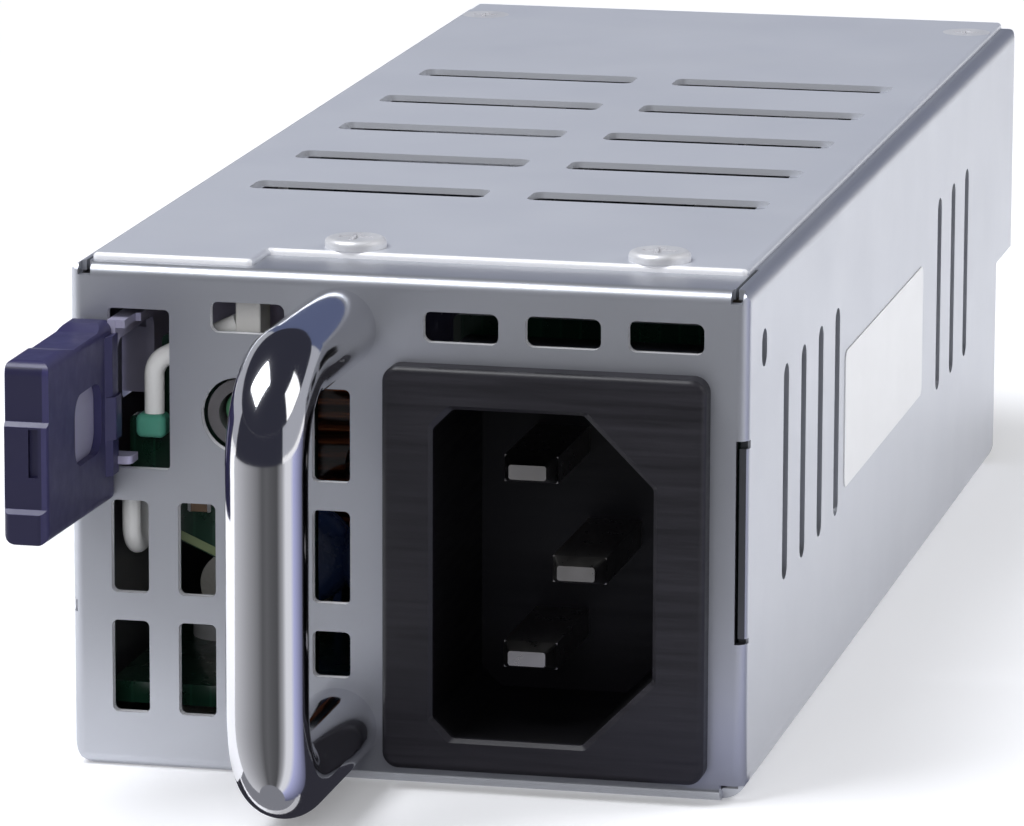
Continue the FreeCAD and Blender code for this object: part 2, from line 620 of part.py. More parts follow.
def insulating_sheet():
    plan = [(-23.0, 3.0, 1), (23.0, 3.0, 1), (23.0, 116.5, 1), (-23.0, 116.5, 1)]
    sheet = level(plan, SHEET, SHEET + 0.25)
    return sheet.cut(Part.makeCompound([rod(x, d, 0, 2.9, 3, Z_AXIS) for x, d in STANDOFFS]))


def output_contacts():
    """Gold pads on both faces of the card edge: wide power pads and a run of signal pads."""
    pads = []
    starts = [(-19.0 + 4.3 * index, 3.6) for index in range(6)]
    starts += [(9.2 + 1.27 * index, 0.85) for index in range(8)]
    for x, width in starts:
        for z0, z1 in ((BOARD_Z[0] - 0.08, BOARD_Z[0]), (BOARD_Z[1], BOARD_Z[1] + 0.08)):
            pads.append(box(x, x + width, CARD_EDGE - 8.0, CARD_EDGE - 0.9, z0, z1))
    return Part.makeCompound(pads)


def filter_board():
    """Upright board soldered to the inlet's tails."""
    board = front_cut(rectangle(INLET_X, 18.6, (22.6, 26.2), 0.5), 18.3, 19.9)
    for x, z in pin_places().values():
        board = board.cut(front_cut(rectangle(x, z, (1.6, 0.9), 0), 18, 20))
    return board


def status_board():
    """Small upright board behind the round hole, with a tongue on its left."""
    front = STATUS_BOARD_D[0]
    corners = [(-19.8, 16.8, 0.3), (-15.2, 14.8, 0), (-15.2, BOARD_Z[1], 0), (-8.2, BOARD_Z[1], 0),
               (-8.2, STATUS_BOARD_TOP, 0.4), (-19.8, STATUS_BOARD_TOP, 0.4), (-19.8, 25.6, 0),
               (-22.3, 25.6, 0.4), (-22.3, 19.3, 0.4), (-19.8, 19.3, 0)]
    return front_cut(corners, front, STATUS_BOARD_D[1])


def status_lamp():
    """Round lamp: a domed lens that stands on the board and looks out of the hole."""
    face = STATUS_BOARD_D[0]
    lens = rod(LAMP_HOLE[0], LENS_D, LAMP_HOLE[1], LENS_RADIUS, face - LENS_D, Y_AXIS)
    dome = Part.makeSphere(LENS_RADIUS, V(LAMP_HOLE[0], back(LENS_D), LAMP_HOLE[1]))
    return fuse([lens, dome])


def status_bezel():
    """Ring round the lamp, just behind the panel."""
    front = SHEET + 0.1
    length = STATUS_BOARD_D[0] - front
    return tube(LAMP_HOLE[0], front, LAMP_HOLE[1], 2.6, LENS_RADIUS + 0.1, length, Y_AXIS)


def status_plug():
    body = box(-21.4, -19.1, STATUS_BOARD_D[0] - 2.0, STATUS_BOARD_D[0], PLUG_Z[0], PLUG_Z[1])
    return body.makeFillet(0.5, body.Edges)


def status_socket():
    """Block on the board's top edge that takes the lead's other end."""
    body = box(SOCKET_X[0], SOCKET_X[1], 3.4, STATUS_BOARD_D[1], STATUS_BOARD_TOP, 35.1)
    return body.makeFillet(0.15, body.Edges)


def arc_path(points, radii):
    """Wire of straight runs joined by tangent arcs, one radius for each inner point."""
    edges = []
    start = points[0]
    for index, radius in enumerate(radii, 1):
        here = points[index]
        way_in = (points[index - 1] - here).normalize()
        way_out = (points[index + 1] - here).normalize()
        half_angle = way_in.getAngle(way_out) / 2
        cut = radius / math.tan(half_angle)
        middle = (way_in + way_out).normalize()
        crown = here + middle * (radius / math.sin(half_angle) - radius)
        edges.append(Part.makeLine(start, here + way_in * cut))
        edges.append(Part.Arc(here + way_in * cut, crown, here + way_out * cut).toShape())
        start = here + way_out * cut
    edges.append(Part.makeLine(start, points[-1]))
    return Part.Wire(edges)


def lead(places, radii, radius):
    points = [V(x, back(d), z) for x, d, z in places]
    path = arc_path(points, radii)
    section = Part.Wire([Part.makeCircle(radius, points[0], points[1] - points[0])])
    return path.makePipeShell([section], True, False)


def status_lead():
    """A lead from the plug up to the socket, and a loop of lead hanging from the tongue."""
    upper = lead([(-20.1, 4.15, PLUG_Z[1]), (-20.1, 4.15, 30.0), (SOCKET_X[0], 4.3, 33.1)], [1.6], 0.75)
    front, rear = STATUS_BOARD_D
    x, top, bottom = -21.9, 20.6, 15.7
    loop = lead([(x, front, top), (x, front - 1.2, top), (x, front - 1.2, bottom),
                 (x, rear + 1.7, bottom), (x, rear + 1.7, top), (x, rear, top)],
                [0.9, 1.9, 1.9, 0.9], 0.7)
    return Part.makeCompound([upper.cut(status_socket()), loop])


# ---- parts on the main board ------------------------------------------------------------
def block(x, d, size, radius):
    """Box with rounded upright edges that stands on the main board."""
    width, depth, height = size
    return level(rectangle(x, d, (width, depth), radius), BOARD_Z[1], BOARD_Z[1] + height)


def can(x, d, radius, height):
    """Upright can with a rolled top edge and the groove near its foot."""
    foot = BOARD_Z[1]
    profile = [V(0, 0, foot), V(radius, 0, foot), V(radius, 0, foot + 1.6),
               V(radius - 0.5, 0, foot + 2.1), V(radius, 0, foot + 2.6), V(radius, 0, foot + height - 0.8),
               V(radius - 0.8, 0, foot + height), V(0, 0, foot + height), V(0, 0, foot)]
    face = Part.Face(Part.makePolygon(profile))
    solid = face.revolve(V(0, 0, 0), Z_AXIS, 360)
    solid.translate(V(x, back(d), 0))
    return solid


def fuse_link():
    body = rod(-19.5, 24.0, 8.4, 2.3, 20.0, Y_AXIS)
    caps = [rod(-19.5, d, 8.4, 2.6, 4.5, Y_AXIS) for d in (24.0, 39.5)]
    return fuse([body] + caps)


def line_capacitor():
    return block(10.5, 25.2, (18.0, 8.0, 15.0), 0.8)


def earth_capacitors():
    discs = []
    for x, d in ((-13.6, 22.6), (-7.2, 22.6)):
        disc = rod(x, d, 11.2, 3.8, 3.2, Y_AXIS)
        leads = [rod(x + side * 2.4, d + 1.6, BOARD_Z[1], 0.35, 3.4, Z_AXIS) for side in (-1, 1)]
        discs.append(fuse([disc.makeFillet(1.2, disc.Edges)] + leads))
    return Part.makeCompound(discs)


CHOKE = (-8.6, 36.0, 16.4)     # centre of the common-mode choke, standing on edge


def ring(centre, axis, outer, inner, width):
    """Square-edged ring about its centre."""
    start = centre - axis * (width / 2)
    hole = Part.makeCylinder(inner, width, start, axis)
    return Part.makeCylinder(outer, width, start, axis).cut(hole)


def ring_sector(centre, axis, outer, inner, width, toward, half_angle):
    """The part of a ring within half_angle of the direction toward."""
    start = centre - axis * (width / 2)
    first = FreeCAD.Rotation(axis, -half_angle).multVec(toward)
    points = [start]
    for step in range(7):
        turn = FreeCAD.Rotation(axis, 2 * half_angle * step / 6)
        points.append(start + turn.multVec(first) * (outer * 1.6))
    wedge = Part.Face(Part.makePolygon(points + [start])).extrude(axis * width)
    return ring(centre, axis, outer, inner, width).common(wedge)


def choke_core():
    return ring(V(CHOKE[0], back(CHOKE[1]), CHOKE[2]), Y_AXIS, 9.0, 5.2, 6.0)


def choke_windings():
    centre = V(CHOKE[0], back(CHOKE[1]), CHOKE[2])
    halves = []
    for side in (-1, 1):
        sleeve = ring_sector(centre, Y_AXIS, 10.3, 3.9, 8.4, V(side, 0, 0), 62)
        halves.append(sleeve.cut(choke_core()))
    return Part.makeCompound(halves)


PFC = (6.4, 50.5)


def pfc_core():
    return ring(V(PFC[0], back(PFC[1]), BOARD_Z[1] + 8.3), Z_AXIS, 8.3, 4.4, 10.0)


def pfc_winding():
    centre = V(PFC[0], back(PFC[1]), BOARD_Z[1] + 8.3)
    sleeve = ring_sector(centre, Z_AXIS, 9.6, 3.2, 13.0, V(1, 0.3, 0).normalize(), 150)
    return sleeve.cut(pfc_core())


def bulk_capacitors():
    return Part.makeCompound([can(-11.4, d, 9.0, 30.0) for d in (61.0, 80.2)])


TRANSFORMER = (8.9, 75.0)


def transformer_core():
    """Two E halves round the winding."""
    x, d = TRANSFORMER
    block_size = (22.0, 17.0, 22.0)
    core = block(x, d, block_size, 0.5)
    z0 = BOARD_Z[1]
    for side in (-1, 1):
        core = core.cut(box(x + side * 6.6 - 2.6, x + side * 6.6 + 2.6, d - 9, d + 9, z0 + 4.0, z0 + 18.0))
    return core


def transformer_winding():
    x, d = TRANSFORMER
    z0 = BOARD_Z[1] + 4.1
    coil = level(rectangle(x, d, (18.2, 24.0), 3.0), z0, z0 + 13.8)
    return coil.cut(transformer_core())


def primary_heatsink():
    """Plate with a folded top edge, standing along the right wall."""
    path = [(22.4, BOARD_Z[1]), (22.4, 31.0), (19.2, 31.0)]
    return front_cut(folded(path, 1.4, 0.3), 40.0, 62.0)


def primary_transistors():
    return Part.makeCompound([power_package(21.7, d, 10.0, -1) for d in (44.5, 57.5)])


def power_package(x, d, z, side):
    """Three-legged power transistor lying flat against a plate at x, facing side."""
    body = box(*sorted((x, x + side * 4.4)), d - 5.0, d + 5.0, z + 4.0, z + 13.0)
    tab = box(*sorted((x, x + side * 1.2)), d - 5.0, d + 5.0, z + 13.0, z + 17.5)
    legs = [box(*sorted((x + side * 2.0, x + side * 2.6)), d + shift - 0.4, d + shift + 0.4,
                BOARD_Z[1], z + 4.0) for shift in (-2.54, 0.0, 2.54)]
    return fuse([body, tab] + legs)


def bridge_rectifier():
    """Flat four-legged bridge standing behind the line capacitor."""
    body = block(11.2, 33.6, (18.0, 3.6, 15.0), 0.3)
    body.translate(V(0, 0, 3.0))
    legs = [box(x - 0.5, x + 0.5, 33.3, 33.9, BOARD_Z[1], BOARD_Z[1] + 3.0)
            for x in (4.6, 9.0, 13.4, 17.0)]
    return fuse([body] + legs)


def secondary_heatsink():
    """Three upright fins on a common web."""
    web = box(3.0, 21.6, 96.4, 97.6, BOARD_Z[1], 27.0)
    fins = [box(x, x + 1.2, 90.2, 96.4, BOARD_Z[1] + 3.0, 27.0) for x in (3.0, 8.8, 14.6, 20.4)]
    return fuse([web] + fins)


def secondary_transistors():
    bodies = []
    for x in (6.5, 12.3, 18.1):
        bodies.append(box(x - 2.3, x + 2.3, 94.6, 96.4, BOARD_Z[1], 17.0))
    return Part.makeCompound(bodies)


def output_capacitors():
    return Part.makeCompound([can(-16.8, 94.6, 4.0, 16.0), can(-8.6, 94.6, 4.0, 16.0),
                              can(-1.2, 94.6, 3.0, 14.0)])


def control_board():
    return side_cut([(56.0, BOARD_Z[1], 0), (97.0, BOARD_Z[1], 0), (97.0, 29.0, 0.5), (56.0, 29.0, 0.5)],
                    -23.3, -22.1)


def control_chips():
    places = [(70.6, 12.0, 7.0, 9.0), (70.6, 22.5, 5.0, 5.0), (91.6, 12.5, 8.0, 8.0), (58.6, 9.0, 3.6, 5.0)]
    chips = [box(-22.1, -21.0, d - wide / 2, d + wide / 2, z - tall / 2, z + tall / 2)
             for d, z, wide, tall in places]
    return Part.makeCompound(chips)


# ---- fan --------------------------------------------------------------------------------
def fan_corners():
    """Where the four fixing screws pass, as (x, z)."""
    return [(sx * 12.0, FAN_Z + sz * 12.0) for sx in (-1, 1) for sz in (-1, 1)]


def fan_frame():
    """Square frame with a round duct, four struts and the motor seat at the rear."""
    front, rear = FAN_DEPTH
    square = rectangle(0, FAN_Z, (FAN_SIZE, FAN_SIZE), 2.0)
    frame = front_cut(square, front, rear)
    frame = frame.cut(rod(0, front - 1, FAN_Z, FAN_BORE, 20, Y_AXIS))
    # a waist between the two flanges leaves a web only round the duct and at the corners
    waist_front = front + 3.0
    waist_length = rear - front - 6.0
    beyond = rectangle(0, FAN_Z, (FAN_SIZE + 2, FAN_SIZE + 2), 0.5)
    waist = front_cut(beyond, waist_front, waist_front + waist_length)
    barrel = rod(0, waist_front, FAN_Z, 15.6, waist_length, Y_AXIS)
    posts = [rod(x, waist_front, z, 2.4, waist_length, Y_AXIS) for x, z in fan_corners()]
    frame = frame.cut(waist.cut(fuse([barrel] + posts)))
    struts = []
    for angle in (20, 110, 200, 290):
        strut = box(5.5, 15.0, rear - 1.4, rear, FAN_Z - 0.8, FAN_Z + 0.8)
        struts.append(strut.rotated(V(0, 0, FAN_Z), Y_AXIS, angle))
    seat = rod(0, rear - 1.4, FAN_Z, HUB_RADIUS, 1.4, Y_AXIS)
    sleeve = rod(0, front + 4.5, FAN_Z, 2.6, rear - front - 5.0, Y_AXIS)
    frame = fuse([frame, seat, sleeve] + struts)
    holes = [rod(x, front - 1, z, 1.5, 20, Y_AXIS) for x, z in fan_corners()]
    holes.append(rod(0, front, FAN_Z, 1.9, 20, Y_AXIS))
    return frame.cut(Part.makeCompound(holes))


def fan_bearing():
    return tube(0, FAN_DEPTH[0] + 5.0, FAN_Z, 1.9, 1.03, 8.6, Y_AXIS)


def fan_shaft():
    return rod(0, FAN_DEPTH[0] + 2.6, FAN_Z, 1.0, 11.6, Y_AXIS)


def fan_coil():
    """Motor winding on the sleeve, inside the rotor's cup."""
    return tube(0, FAN_DEPTH[0] + 5.6, FAN_Z, 4.9, 2.6, 6.6, Y_AXIS)


def blade(angle):
    """One curved blade: two cambered sections, turned more at the root than at the tip."""
    wires = []
    for radius, pitch, chord, camber in ((5.8, 52, 9.6, 1.5), (14.6, 32, 13.0, 2.0)):
        sine, cosine = math.sin(math.radians(pitch)), math.cos(math.radians(pitch))
        along = V(sine, cosine, 0) * (chord / 2)
        across = V(cosine, -sine, 0)
        centre = V(0, back(sum(FAN_DEPTH) / 2 - 1.4), FAN_Z + radius)
        low, high = centre - along, centre + along
        face_side = Part.Arc(low, centre + across * (camber + 0.35), high).toShape()
        back_side = Part.Arc(high, centre + across * (camber - 0.35), low).toShape()
        wires.append(Part.Wire([face_side, back_side]))
    return Part.makeLoft(wires, True, True).rotated(V(0, 0, FAN_Z), Y_AXIS, angle)


def fan_rotor():
    front = FAN_DEPTH[0]
    cup = rod(0, front + 1.2, FAN_Z, HUB_RADIUS, 11.6, Y_AXIS)
    rim = [edge for edge in cup.Edges if abs(edge.CenterOfMass.y - back(front + 1.2)) < 1e-6]
    cup = cup.makeFillet(1.0, rim)
    cup = cup.cut(rod(0, front + 2.6, FAN_Z, HUB_RADIUS - 0.9, 12, Y_AXIS))
    boss = rod(0, front + 2.0, FAN_Z, 1.9, 2.0, Y_AXIS)
    swept = rod(0, front + 1.2, FAN_Z, BLADE_TIP, 11.6, Y_AXIS)
    solid_hub = rod(0, front - 1, FAN_Z, HUB_RADIUS - 0.5, 17, Y_AXIS)
    blades = [blade(360.0 * index / BLADES).common(swept).cut(solid_hub) for index in range(BLADES)]
    rotor = fuse([cup, boss] + blades)
    return rotor.cut(rod(0, front + 2.6, FAN_Z, 1.0, 12, Y_AXIS))


def fan_bracket():
    """Baffle behind the fan, folded to two side ears."""
    rear = FAN_DEPTH[1]
    half = HALF - SHEET - 0.4
    path = [(-half, rear - 8.0), (-half, rear + 0.4), (half, rear + 0.4), (half, rear - 8.0)]
    plate = level(folded(path, SHEET, 0.4), 6.2, 36.7)
    duct = rod(0, rear - 1, FAN_Z, FAN_BORE, 3, Y_AXIS)
    holes = [rod(x, rear - 1, z, 1.5, 3, Y_AXIS) for x, z in fan_corners()]
    return plate.cut(Part.makeCompound([duct] + holes))


def fan_screws():
    seat = back(FAN_DEPTH[0])
    return Part.makeCompound([pan_screw(x, seat, z, (2.3, 1.2), 16.6, Y_AXIS.negative())
                              for x, z in fan_corners()])


def fan_plug():
    return block(-20.4, 103.6, (3.0, 7.0, 5.4), 0.2)


def fan_lead():
    return lead([(-15.0, 101.5, 13.0), (-18.0, 101.5, 13.0), (-20.4, 103.6, 15.0), (-20.4, 103.6, 10.9)],
                [1.4, 1.4], 0.6)


PARTS = {
    "chassis": chassis,
    "cover": cover,
    "cover_screws": cover_screws,
    "inlet_housing": inlet_housing,
    "line_pin": lambda: inlet_pin(*pin_places()["line_pin"], LINE_TIP),
    "neutral_pin": lambda: inlet_pin(*pin_places()["neutral_pin"], LINE_TIP),
    "earth_pin": lambda: inlet_pin(*pin_places()["earth_pin"], EARTH_TIP),
    "handle": handle,
    "handle_screws": handle_screws,
    "latch_tab": latch_tab,
    "latch_arm": latch_arm,
    "latch_tooth": latch_tooth,
    "latch_bracket": latch_bracket,
    "latch_pin": latch_pin,
    "latch_spring": latch_spring,
    "main_board": main_board,
    "standoffs": standoffs,
    "board_screws": board_screws,
    "insulating_sheet": insulating_sheet,
    "output_contacts": output_contacts,
    "filter_board": filter_board,
    "status_board": status_board,
    "status_lamp": status_lamp,
    "status_bezel": status_bezel,
    "status_plug": status_plug,
    "status_socket": status_socket,
    "status_lead": status_lead,
    "mains_fuse": fuse_link,
    "line_capacitor": line_capacitor,
    "earth_capacitors": earth_capacitors,
    "choke_core": choke_core,
    "choke_windings": choke_windings,
    "bridge_rectifier": bridge_rectifier,
    "pfc_core": pfc_core,
    "pfc_winding": pfc_winding,
    "bulk_capacitors": bulk_capacitors,
    "primary_heatsink": primary_heatsink,
    "primary_transistors": primary_transistors,
    "transformer_core": transformer_core,
    "transformer_winding": transformer_winding,
    "secondary_heatsink": secondary_heatsink,
    "secondary_transistors": secondary_transistors,
    "output_capacitors": output_capacitors,
    "control_board": control_board,
    "control_chips": control_chips,
    "fan_frame": fan_frame,
    "fan_rotor": fan_rotor,
    "fan_shaft": fan_shaft,
    "fan_bearing": fan_bearing,
    "fan_coil": fan_coil,
    "fan_bracket": fan_bracket,
    "fan_screws": fan_screws,
    "fan_plug": fan_plug,
    "fan_lead": fan_lead,
}

os.makedirs("parts", exist_ok=True)
for name, make in PARTS.items():
    shape = make()
    if not shape.isValid() or shape.Volume <= 0 or not shape.Solids:
        raise ValueError(name + " is not a valid solid")
    if len(shape.Solids) == 1:
        shape = shape.Solids[0]
    shape.exportStep(os.path.join("parts", name + ".step"))
    print(f"{name:24s} solids {len(shape.Solids):2d}  volume {shape.Volume:9.1f}")
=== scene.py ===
"""Looks of the hot swap server power supply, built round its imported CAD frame.

Axes are the frame's: -Y is the front panel and +Z is up. Boxes and small pieces on the object
are written in millimetres and multiplied by MM. The studio round it is written in metres, and
so is the depth of the surface grain.
"""
import json
import math

import bmesh
import bpy
from mathutils import Matrix, Vector

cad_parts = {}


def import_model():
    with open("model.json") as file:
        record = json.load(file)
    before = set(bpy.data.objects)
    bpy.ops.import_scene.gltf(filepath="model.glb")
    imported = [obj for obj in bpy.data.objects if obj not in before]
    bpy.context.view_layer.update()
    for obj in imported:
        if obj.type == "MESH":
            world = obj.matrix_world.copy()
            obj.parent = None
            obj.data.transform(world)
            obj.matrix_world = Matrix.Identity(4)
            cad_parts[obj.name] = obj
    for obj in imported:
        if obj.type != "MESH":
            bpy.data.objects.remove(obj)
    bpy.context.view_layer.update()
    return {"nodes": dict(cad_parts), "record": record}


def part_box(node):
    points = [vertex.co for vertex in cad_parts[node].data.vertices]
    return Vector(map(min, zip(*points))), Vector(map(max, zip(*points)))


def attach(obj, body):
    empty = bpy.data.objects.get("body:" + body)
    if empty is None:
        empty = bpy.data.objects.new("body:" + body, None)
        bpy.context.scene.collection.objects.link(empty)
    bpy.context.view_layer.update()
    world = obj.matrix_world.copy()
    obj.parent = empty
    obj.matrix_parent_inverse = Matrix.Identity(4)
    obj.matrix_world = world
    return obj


MM = 0.001
MIX_COLORS, MIX_RESULT = (6, 7), 2   # sockets of a Mix node that mixes colours

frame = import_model()
scene = bpy.context.scene


# ---- node helpers -----------------------------------------------------------------------
def shade(color, factor):
    """Darker or lighter tone of a colour."""
    return tuple(min(1.0, part * factor) for part in color)


def opaque(color):
    """A colour with full alpha."""
    return (*color, 1)


def fill_ramp(node, stops):
    """Sets the stops of a colour ramp: (position, colour) from left to right."""
    elements = node.color_ramp.elements
    while len(elements) < len(stops):
        elements.new(0.5)
    for element, (position, color) in zip(elements, stops):
        element.position = position
        element.color = opaque(color)


class Shader:
    """A Principled material with short calls for the nodes that the finishes share."""

    def __init__(self, name, color, metallic=0.0, roughness=0.5, coat=0.0):
        self.material = bpy.data.materials.new(name)
        self.material.use_nodes = True
        self.nodes = self.material.node_tree.nodes
        self.links = self.material.node_tree.links
        self.bsdf = self.nodes["Principled BSDF"]
        self.bsdf.inputs["Base Color"].default_value = opaque(color)
        self.bsdf.inputs["Metallic"].default_value = metallic
        self.bsdf.inputs["Roughness"].default_value = roughness
        self.bsdf.inputs["Coat Weight"].default_value = coat
        self.place = self.nodes.new("ShaderNodeTexCoord").outputs["Object"]

    def link(self, output, target):
        self.links.new(output, target)

    def stretched(self, scale):
        """Object coordinates scaled unevenly, for grain that runs one way."""
        mapping = self.nodes.new("ShaderNodeMapping")
        mapping.inputs["Scale"].default_value = scale
        self.link(self.place, mapping.inputs["Vector"])
        return mapping.outputs["Vector"]

    def noise(self, scale, detail=4.0, rough=0.55, vector=None):
        """Soft noise; scale is about the number of its features in a metre."""
        node = self.nodes.new("ShaderNodeTexNoise")
        node.inputs["Scale"].default_value = scale
        node.inputs["Detail"].default_value = detail
        node.inputs["Roughness"].default_value = rough
        self.link(vector or self.place, node.inputs["Vector"])
        return node.outputs["Fac"]

    def cells(self, scale):
        """Distance from the middle of the nearest of many small cells."""
        node = self.nodes.new("ShaderNodeTexVoronoi")
        node.inputs["Scale"].default_value = scale
        self.link(self.place, node.inputs["Vector"])
        return node.outputs["Distance"]

    def remap(self, value, low, high, start=0.3, end=0.7):
        """Turns start..end of a value into low..high."""
        node = self.nodes.new("ShaderNodeMapRange")
        node.inputs["From Min"].default_value = start
        node.inputs["From Max"].default_value = end
        node.inputs["To Min"].default_value = low
        node.inputs["To Max"].default_value = high
        self.link(value, node.inputs["Value"])
        return node.outputs["Result"]

    def ramp(self, value, *stops):
        """Colours a value by stops, each a position and a colour."""
        node = self.nodes.new("ShaderNodeValToRGB")
        fill_ramp(node, stops)
        self.link(value, node.inputs["Fac"])
        return node.outputs["Color"]

    def tones(self, value, color, dark, light, start=0.3, end=0.7):
        """Ramp from a darker to a lighter tone of a colour."""
        return self.ramp(value, (start, shade(color, dark)), (end, shade(color, light)))

    def inside(self, low, high):
        """1 in a box given by two corners in millimetres, 0 elsewhere."""
        parts = self.nodes.new("ShaderNodeSeparateXYZ")
        self.link(self.place, parts.inputs[0])
        total = None
        for axis in range(3):
            middle = (low[axis] + high[axis]) / 2 * MM
            half = (high[axis] - low[axis]) / 2 * MM
            near = self.math("COMPARE", parts.outputs[axis], middle, half)
            total = self.math("MULTIPLY", total, near) if total else near
        return total

    def in_any(self, boxes):
        """1 in each of several boxes that don't meet."""
        total = None
        for corners in boxes:
            box = self.inside(*corners)
            total = self.math("ADD", total, box) if total else box
        return total

    def math(self, operation, *values):
        """Math node whose inputs are numbers or the outputs of other nodes."""
        node = self.nodes.new("ShaderNodeMath")
        node.operation = operation
        for socket, value in zip(node.inputs, values):
            if isinstance(value, (int, float)):
                socket.default_value = value
            else:
                self.link(value, socket)
        return node.outputs[0]

    def mixed(self, factor, first, second):
        """First colour where factor is 0, second where it is 1."""
        node = self.nodes.new("ShaderNodeMix")
        node.data_type = "RGBA"
        self.link(factor, node.inputs["Factor"])
        for at, value in zip(MIX_COLORS, (first, second)):
            if isinstance(value, tuple):
                node.inputs[at].default_value = opaque(value)
            else:
                self.link(value, node.inputs[at])
        return node.outputs[MIX_RESULT]

    def roughness(self, value):
        self.link(value, self.bsdf.inputs["Roughness"])

    def metallic(self, value):
        self.link(value, self.bsdf.inputs["Metallic"])

    def color(self, value):
        self.link(value, self.bsdf.inputs["Base Color"])

    def bump(self, height, distance, strength=1.0, before=None):
        """Adds relief of a depth in metres, on top of the normal from an earlier bump."""
        node = self.nodes.new("ShaderNodeBump")
        node.inputs["Strength"].default_value = strength
        node.inputs["Distance"].default_value = distance
        self.link(height, node.inputs["Height"])
        if before:
            self.link(before, node.inputs["Normal"])
        self.link(node.outputs["Normal"], self.bsdf.inputs["Normal"])
        return node.outputs["Normal"]


# ---- finishes ---------------------------------------------------------------------------
EDGE_HIGHLIGHT = (0.92, 0.92, 0.95)       # painted highlight: near-white colour for punched and sheared rims, standing in for light on them
EDGE_HIGHLIGHT_METALLIC = 0.2
BARE_CAN = (0.7, 0.7, 0.71)
INSIDE_SHADE = 0.3                    # how much of its colour a surface keeps where shade is painted on
SHEARED_SHADE = 0.22
END_SHADE = 0.5
RECESS_SHADE = 0.3


def plated_sheet(name, color, metallic, highlighted_edges, sheared=None):
    """Plated steel: rolling grain and slow drift, with painted highlights on cut edges,
    painted shade on its inner faces and on a sheared joint.
    """
    s = Shader(name, color)
    tint = s.tones(s.noise(scale=45, detail=3), color, dark=0.97, light=1.02)
    # painted shade on the inner faces of the sheet
    tint = s.mixed(s.inside(*INTERIOR), tint, shade(color, INSIDE_SHADE))
    # painted highlight on the cut edges: near-white and less metallic
    bright = s.in_any(highlighted_edges)
    tint = s.mixed(bright, tint, EDGE_HIGHLIGHT)
    s.metallic(s.remap(bright, metallic, EDGE_HIGHLIGHT_METALLIC, start=0, end=1))
    if sheared:
        # painted shade on the sheared joint, darker than a bare sheared edge would be
        tint = s.mixed(s.inside(*sheared), tint, shade(color, SHEARED_SHADE))
    s.color(tint)
    s.roughness(s.remap(s.noise(scale=120, detail=5), low=0.34, high=0.4))
    grain = s.noise(scale=260, detail=3, rough=0.6, vector=s.stretched((9, 1, 9)))
    first = s.bump(grain, distance=0.00001, strength=0.4)
    fine = s.noise(scale=2600, detail=2)
    s.bump(fine, distance=0.00001, strength=0.3, before=first)
    return s.material


def bare_steel(name, color, roughness):
    """Bright metal with a fine upright grain; also for the plated contacts."""
    s = Shader(name, color, metallic=1.0)
    s.color(s.tones(s.noise(scale=300, detail=3), color, dark=0.93, light=1.0,
                    start=0.35, end=0.65))
    s.roughness(s.remap(s.noise(scale=900), low=roughness - 0.04, high=roughness + 0.06))
    grain = s.noise(scale=2500, detail=3, rough=0.6, vector=s.stretched((1, 1, 6)))
    s.bump(grain, distance=0.0000015, strength=0.3)
    return s.material


def satin_steel(name, color):
    """Dull plated strip with a faint lengthwise grain."""
    s = Shader(name, color, metallic=0.55)
    grain = s.noise(scale=500, detail=3, rough=0.6, vector=s.stretched((1, 0.15, 1)))
    s.color(s.tones(grain, color, dark=0.93, light=1.05))
    s.roughness(s.remap(grain, low=0.42, high=0.5))
    s.bump(grain, distance=0.000005, strength=0.4)
    return s.material


def chrome(name, color):
    """Polished plating with a slight unevenness."""
    s = Shader(name, color, metallic=1.0)
    s.roughness(s.remap(s.noise(scale=420, detail=5), low=0.075, high=0.115))
    s.bump(s.noise(scale=90, detail=2), distance=0.00002, strength=0.25)
    return s.material


def moulded(name, color, roughness=0.45, grain=0.00003, scale=3200, spread=0.12, shaded_boxes=None):
    """Moulded plastic: eroded grain, slow change of sheen, and painted shade in the given
    boxes.
    """
    s = Shader(name, color)
    tint = s.tones(s.noise(scale=150), color, dark=1 - spread, light=1 + spread)
    if shaded_boxes:
        # painted shade on the latch's end face
        tint = s.mixed(s.in_any(shaded_boxes), tint, shade(color, END_SHADE))
    s.color(tint)
    s.roughness(s.remap(s.noise(scale=500), low=roughness - 0.05, high=roughness + 0.08))
    first = s.bump(s.cells(scale), distance=grain, strength=0.6)
    coarser = s.noise(scale=scale * 0.5, detail=3)
    s.bump(coarser, distance=grain, strength=0.5, before=first)
    return s.material


def inlet_moulding(name, color, recess):
    """Black moulding with the fine level lines of its die, with painted shade down in its
    recess.
    """
    s = Shader(name, color)
    lines = s.noise(scale=160, detail=5, rough=0.65, vector=s.stretched((0.35, 1, 9)))
    tint = s.tones(lines, color, dark=0.75, light=1.35, start=0.35, end=0.65)
    # painted shade down in the recess
    s.color(s.mixed(s.inside(*recess), tint, shade(color, RECESS_SHADE)))
    s.roughness(s.remap(lines, low=0.37, high=0.5))
    first = s.bump(lines, distance=0.00003, strength=0.5)
    fine = s.noise(scale=3000, detail=3)
    s.bump(fine, distance=0.00002, strength=0.4, before=first)
    return s.material


def solder_mask(name, color):
    """Circuit board: a close pattern of tracks under a green mask."""
    s = Shader(name, color, coat=0.3)
    tracks = s.nodes.new("ShaderNodeTexBrick")
    tracks.inputs["Scale"].default_value = 330
    tracks.inputs["Mortar Size"].default_value = 0.03
    for socket, factor in (("Color1", 1.25), ("Color2", 0.8), ("Mortar", 1.7)):
        tracks.inputs[socket].default_value = opaque(shade(color, factor))
    s.link(s.place, tracks.inputs["Vector"])
    s.color(tracks.outputs["Color"])
    s.roughness(s.remap(s.noise(scale=700, detail=3), low=0.24, high=0.38))
    s.bump(tracks.outputs["Fac"], distance=0.00002, strength=0.5)
    return s.material


